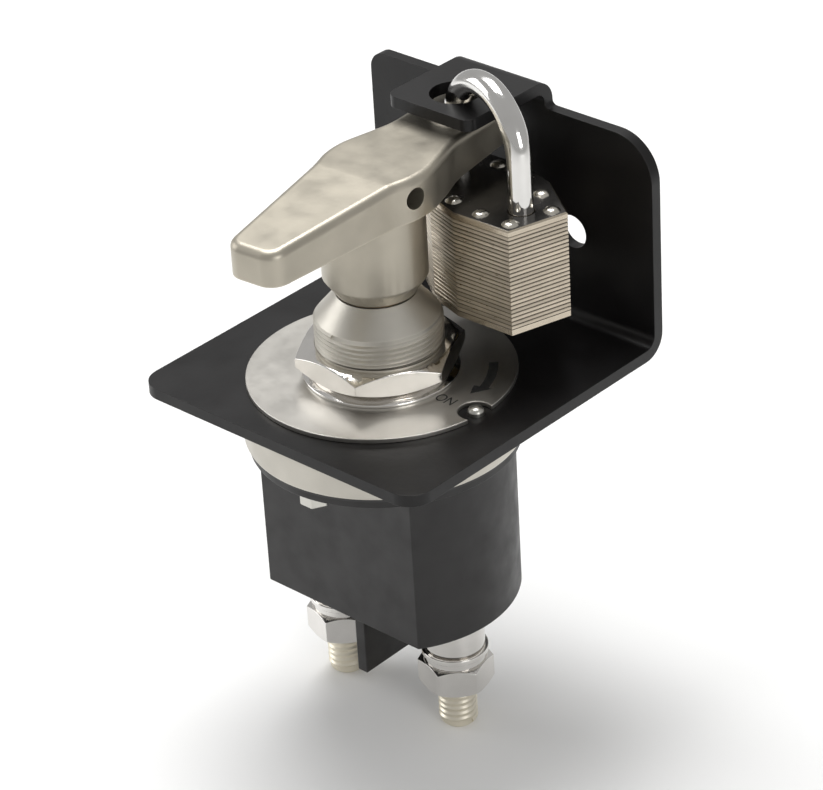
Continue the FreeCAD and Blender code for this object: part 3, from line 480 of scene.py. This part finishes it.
class SWITCH_OT_face(bpy.types.Operator):
    """Makes the face plate with its locating pin and printed marks"""
    bl_idname = "battery_switch.face"
    bl_label = "Face plate"

    def execute(self, context):
        sizes = context.scene.switch_sizes
        softened("face_plate", finish_of("face_plate"), 0.18 * MM)
        softened("locating_pin", finish_of("locating_pin"), 0.7 * MM, 5)
        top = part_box("face_plate")[1].z
        self.arrow(top, sizes.print_thick)
        self.word(top, sizes.print_thick)
        return {"FINISHED"}

    def arrow(self, top, thick):
        inner, outer = 25.1 * MM, 27.3 * MM
        start, neck, tip = 42.5, 17.0, 8.5
        barb_in, barb_out, point_in = 2.6 * MM, 2.1 * MM, 1.6 * MM
        shape = bmesh.new()

        def corner(radius, degrees):
            turn = math.radians(degrees)
            return shape.verts.new((radius * math.cos(turn), radius * math.sin(turn), top))

        ends = [corner(radius, start) for radius in (inner, outer)]
        bar = shape.edges.new(ends)
        bmesh.ops.spin(shape, geom=ends + [bar], cent=(0, 0, 0), axis=UP,
                       angle=math.radians(neck - start), steps=24, use_merge=False,
                       use_duplicate=False)
        middle = (inner + outer) / 2
        shape.faces.new([corner(middle - barb_in, neck), corner(middle - point_in, tip),
                         corner(middle + barb_out, neck)])
        made = bmesh.ops.extrude_face_region(shape, geom=list(shape.faces))
        lifted = [part for part in made["geom"] if isinstance(part, bmesh.types.BMVert)]
        bmesh.ops.translate(shape, vec=UP * thick, verts=lifted)
        closed(shape)
        put_out(shape, "printed_arrow", FINISHES["ink"], "switch", "printed_face")

    def word(self, top, thick):
        x, y, narrowed = 18.9 * MM, -3.2 * MM, 0.80
        text = bpy.data.curves.new("word_on", "FONT")
        text.body = "ON"
        text.size = 4.3 * MM
        text.align_x = "LEFT"
        text.extrude = thick / 2
        text.resolution_u = 6
        holder = bpy.data.objects.new("word_holder", text)
        context = bpy.context
        context.scene.collection.objects.link(holder)
        context.view_layer.update()
        drawn = holder.evaluated_get(context.evaluated_depsgraph_get())
        mesh = bpy.data.meshes.new_from_object(drawn)
        bpy.data.objects.remove(holder)
        shape = bmesh.new()
        shape.from_mesh(mesh)
        bpy.data.meshes.remove(mesh)
        place = Matrix.Translation((x, y, top + thick / 2)) @ Matrix.Diagonal((narrowed, 1, 1, 1))
        bmesh.ops.transform(shape, matrix=place, verts=shape.verts)
        closed(shape)
        put_out(shape, "printed_word", FINISHES["ink"], "switch", "printed_face")


class SWITCH_OT_stem(bpy.types.Operator):
    """Makes the cover with its threaded stem, and the washer and nut on it"""
    bl_idname = "battery_switch.stem"
    bl_label = "Stem and cover"

    def execute(self, context):
        sizes = context.scene.switch_sizes
        low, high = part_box("switch_cover")
        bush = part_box("stem_bush")[1].x
        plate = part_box("lockout_bracket")[0].z
        rim = high.x
        roof = plate - 3.5 * MM
        inside = 24.5 * MM
        crest = 15.2 * MM
        root = crest - sizes.stem_depth
        cone_foot, cone_end, tip = 16.5 * MM, 9.9 * MM, 9.6 * MM
        shape = bmesh.new()
        lathed(shape, (
            (bush, roof), (inside, roof), (inside, low.z), (rim - 0.8 * MM, low.z),
            (rim - 0.25 * MM, low.z + 0.2 * MM), (rim, low.z + 0.8 * MM), (rim, plate - 1.2 * MM),
            (rim - 0.35 * MM, plate - 0.35 * MM), (rim - 1.2 * MM, plate), (root, plate),
            (root, 16.1 * MM), (root, cone_foot), (cone_end, high.z - 0.3 * MM),
            (tip, high.z), (bush, high.z)), 160)
        closed(shape)
        thread(shape, crest, sizes.stem_depth, sizes.stem_pitch, plate, cone_foot, 72)
        bmesh.ops.recalc_face_normals(shape, faces=shape.faces)
        put_out(shape, "threaded_cover", finish_of("switch_cover"), "switch",
                SLOTS["switch_cover"], "switch_cover")
        softened("stem_nut", finish_of("stem_nut"), 0.4 * MM, 4)
        softened("stem_lock_washer", finish_of("stem_lock_washer"), 0.15 * MM, 2)
        return {"FINISHED"}


class SWITCH_OT_housing(bpy.types.Operator):
    """Makes the moulded housing, its gasket and the cover screws"""
    bl_idname = "battery_switch.housing"
    bl_label = "Housing"

    def execute(self, context):
        sizes = context.scene.switch_sizes
        softened("housing", finish_of("housing"), sizes.moulding_edge, 3)
        softened("cover_screws", finish_of("cover_screws"), sizes.screw_edge)
        refinish("cover_gasket")
        return {"FINISHED"}


class SWITCH_OT_terminals(bpy.types.Operator):
    """Makes both terminal studs with their threads, collars, washers and nuts"""
    bl_idname = "battery_switch.terminals"
    bl_label = "Terminals"

    def execute(self, context):
        sizes = context.scene.switch_sizes
        for side in ("left", "right"):
            self.stud("terminal_stud_" + side, sizes)
            for part, width in (("collar", 0.35 * MM), ("washer", 0.2 * MM),
                                ("spring_washer", 0.15 * MM), ("nut", 0.4 * MM)):
                node = "terminal_%s_%s" % (part, side)
                softened(node, finish_of(node), width)
        return {"FINISHED"}

    def stud(self, node, sizes):
        low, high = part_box(node)
        x = (low.x + high.x) / 2
        head = (high.x - low.x) / 2
        head_thick, shank = 3.8 * MM, 19.7 * MM
        crest = 4.76 * MM
        core = crest - sizes.stud_depth
        under = high.z - head_thick
        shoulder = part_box("housing")[0].z + shank
        shape = bmesh.new()
        lathed(shape, (
            (0.0, high.z), (head - 0.4 * MM, high.z), (head, high.z - 0.4 * MM), (head, under),
            (crest, under), (crest, shoulder), (core, shoulder - 0.5 * MM),
            (core, low.z + 0.7 * MM), (core - 0.7 * MM, low.z), (0.0, low.z)), 96, x, ring=False)
        closed(shape)
        thread(shape, crest, sizes.stud_depth, sizes.stud_pitch, low.z + 0.6 * MM, shoulder, 40, x)
        bmesh.ops.recalc_face_normals(shape, faces=shape.faces)
        put_out(shape, node + "_threaded", finish_of(node), "switch", SLOTS[node], node)


class SWITCH_OT_lever(bpy.types.Operator):
    """Makes the cast lever with its soft top edge, and its cross pin"""
    bl_idname = "battery_switch.lever"
    bl_label = "Lever"

    def execute(self, context):
        shape = merged_copy("lever")
        turn, reach = math.radians(4.5), 31.0 * MM
        hole = Vector((-reach * math.sin(turn), reach * math.cos(turn)))
        top = [edge for edge in sharp_edges(shape) if self.on_top(edge, hole)]
        round_off(shape, top, context.scene.switch_sizes.lever_edge, 6)
        round_off(shape, sharp_edges(shape, VERY_SHARP), 0.5 * MM, 3)
        put_out(shape, "lever_cast", finish_of("lever"), "lever", SLOTS["lever"], "lever")
        # The cross pin gets the near-black finish, painted shade for the dark hole it sits in.
        softened("lever_pin", FINISHES["blackened"], 0.4 * MM)
        return {"FINISHED"}

    def on_top(self, edge, hole):
        """True for a top edge that is well away from the padlock's hole."""
        hole_edge, top_from = 6.2 * MM, 51 * MM
        lifts = sorted(face.normal.z for face in edge.link_faces)
        middle = (edge.verts[0].co + edge.verts[1].co) / 2
        clear = (middle.xy - hole).length > hole_edge
        return clear and lifts[-1] > 0.9 and abs(lifts[0]) < 0.5 and middle.z > top_from


class SWITCH_OT_padlock(bpy.types.Operator):
    """Makes the padlock's body: end plates, laminations and rivets"""
    bl_idname = "battery_switch.padlock"
    bl_label = "Padlock body"

    def execute(self, context):
        for node in ("padlock_top_plate", "padlock_bottom_plate"):
            softened(node, finish_of(node), 0.3 * MM, 3)
        softened("padlock_rivets", finish_of("padlock_rivets"), 0.08 * MM, 2)
        refinish("padlock_laminations", "padlock_plug", "padlock_latch")
        return {"FINISHED"}


class SWITCH_OT_shackle(bpy.types.Operator):
    """Makes the padlock's chromed shackle"""
    bl_idname = "battery_switch.shackle"
    bl_label = "Shackle"

    def execute(self, context):
        softened("padlock_shackle", finish_of("padlock_shackle"), 0.3 * MM, 3)
        return {"FINISHED"}


class SWITCH_OT_inside(bpy.types.Operator):
    """Finishes the shaft line, rotor and contacts inside the switch"""
    bl_idname = "battery_switch.inside"
    bl_label = "Inner parts"

    def execute(self, context):
        refinish("stop_pins", "fixed_contact_pads", "stem_bush", "thrust_ring", "shaft", "shaft_seal",
                 "shaft_clip", "rotor", "contact_bridge", "contact_spring")
        return {"FINISHED"}


class SWITCH_OT_stage(bpy.types.Operator):
    """Sets the floor, the lights and the camera"""
    bl_idname = "battery_switch.stage"
    bl_label = "Stage"

    def execute(self, context):
        scene = context.scene
        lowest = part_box("terminal_stud_left")[0].z
        shape = bmesh.new()
        bmesh.ops.create_grid(shape, x_segments=1, y_segments=1, size=3.0)
        bmesh.ops.translate(shape, vec=(0, 0, lowest), verts=shape.verts)
        mesh = bpy.data.meshes.new("floor")
        shape.to_mesh(mesh)
        shape.free()
        mesh.materials.append(FINISHES["floor"])
        floor = bpy.data.objects.new("floor", mesh)
        scene.collection.objects.link(floor)
        world = bpy.data.worlds.new("Studio")
        world.use_nodes = True
        sky = world.node_tree.nodes["Background"]
        sky.inputs["Color"].default_value = (1.0, 0.995, 0.985, 1)
        sky.inputs["Strength"].default_value = 0.46
        scene.world = world
        for name, place, size, watts in LAMPS:
            self.lamp(name, place, size, watts)
        scene.view_settings.view_transform = "Standard"
        self.camera(scene)
        return {"FINISHED"}

    def lamp(self, name, place, size, watts):
        light = bpy.data.lights.new(name, "AREA")
        light.shape = "SQUARE"
        light.size = size
        light.energy = watts
        lamp = bpy.data.objects.new(name, light)
        lamp.location = place
        lamp.rotation_euler = (-Vector(place)).to_track_quat("-Z", "Y").to_euler()
        bpy.context.scene.collection.objects.link(lamp)

    def camera(self, scene):
        turn, rise, roll = (math.radians(angle) for angle in CAMERA_ANGLES)
        level = math.cos(rise)
        back = Vector((math.sin(turn) * level, -math.cos(turn) * level, math.sin(rise)))
        right = Vector((math.cos(turn), math.sin(turn), 0))
        over = back.cross(right)
        side = right * math.cos(roll) + over * math.sin(roll)
        top = over * math.cos(roll) - right * math.sin(roll)
        place = back * CAMERA_DISTANCE - side * CAMERA_SIDE - top * CAMERA_TOP
        lens = bpy.data.cameras.new("camera")
        lens.lens = CAMERA_LENS
        lens.sensor_width = 36.0
        lens.clip_start = 0.01
        camera = bpy.data.objects.new("camera", lens)
        facing = Matrix((side, top, back)).transposed().to_4x4()
        camera.matrix_world = Matrix.Translation(place) @ facing
        scene.collection.objects.link(camera)
        scene.camera = camera


class SWITCH_PT_panel(bpy.types.Panel):
    """Lists the switch's pieces and their sizes and colours"""
    bl_idname = "SWITCH_PT_panel"
    bl_label = "Battery switch"
    bl_space_type = "VIEW_3D"
    bl_region_type = "UI"
    bl_category = "Battery switch"

    def draw(self, context):
        for maker in MAKERS:
            self.layout.operator(maker.bl_idname)
        for settings in (context.scene.switch_sizes, context.scene.switch_colours):
            box = self.layout.box()
            for name in settings.__annotations__:
                box.prop(settings, name)


MAKERS = (SWITCH_OT_finishes, SWITCH_OT_bracket, SWITCH_OT_face, SWITCH_OT_stem, SWITCH_OT_housing,
          SWITCH_OT_terminals, SWITCH_OT_lever, SWITCH_OT_padlock, SWITCH_OT_shackle,
          SWITCH_OT_inside, SWITCH_OT_stage)
CLASSES = (SwitchSizes, SwitchColours) + MAKERS + (SWITCH_PT_panel,)


def register():
    for item in CLASSES:
        bpy.utils.register_class(item)
    bpy.types.Scene.switch_sizes = bpy.props.PointerProperty(type=SwitchSizes)
    bpy.types.Scene.switch_colours = bpy.props.PointerProperty(type=SwitchColours)


def unregister():
    del bpy.types.Scene.switch_colours
    del bpy.types.Scene.switch_sizes
    for item in reversed(CLASSES):
        bpy.utils.unregister_class(item)


def main():
    register()
    for maker in MAKERS:
        group, name = maker.bl_idname.split(".")
        getattr(getattr(bpy.ops, group), name)()


if __name__ == "__main__":
    main()
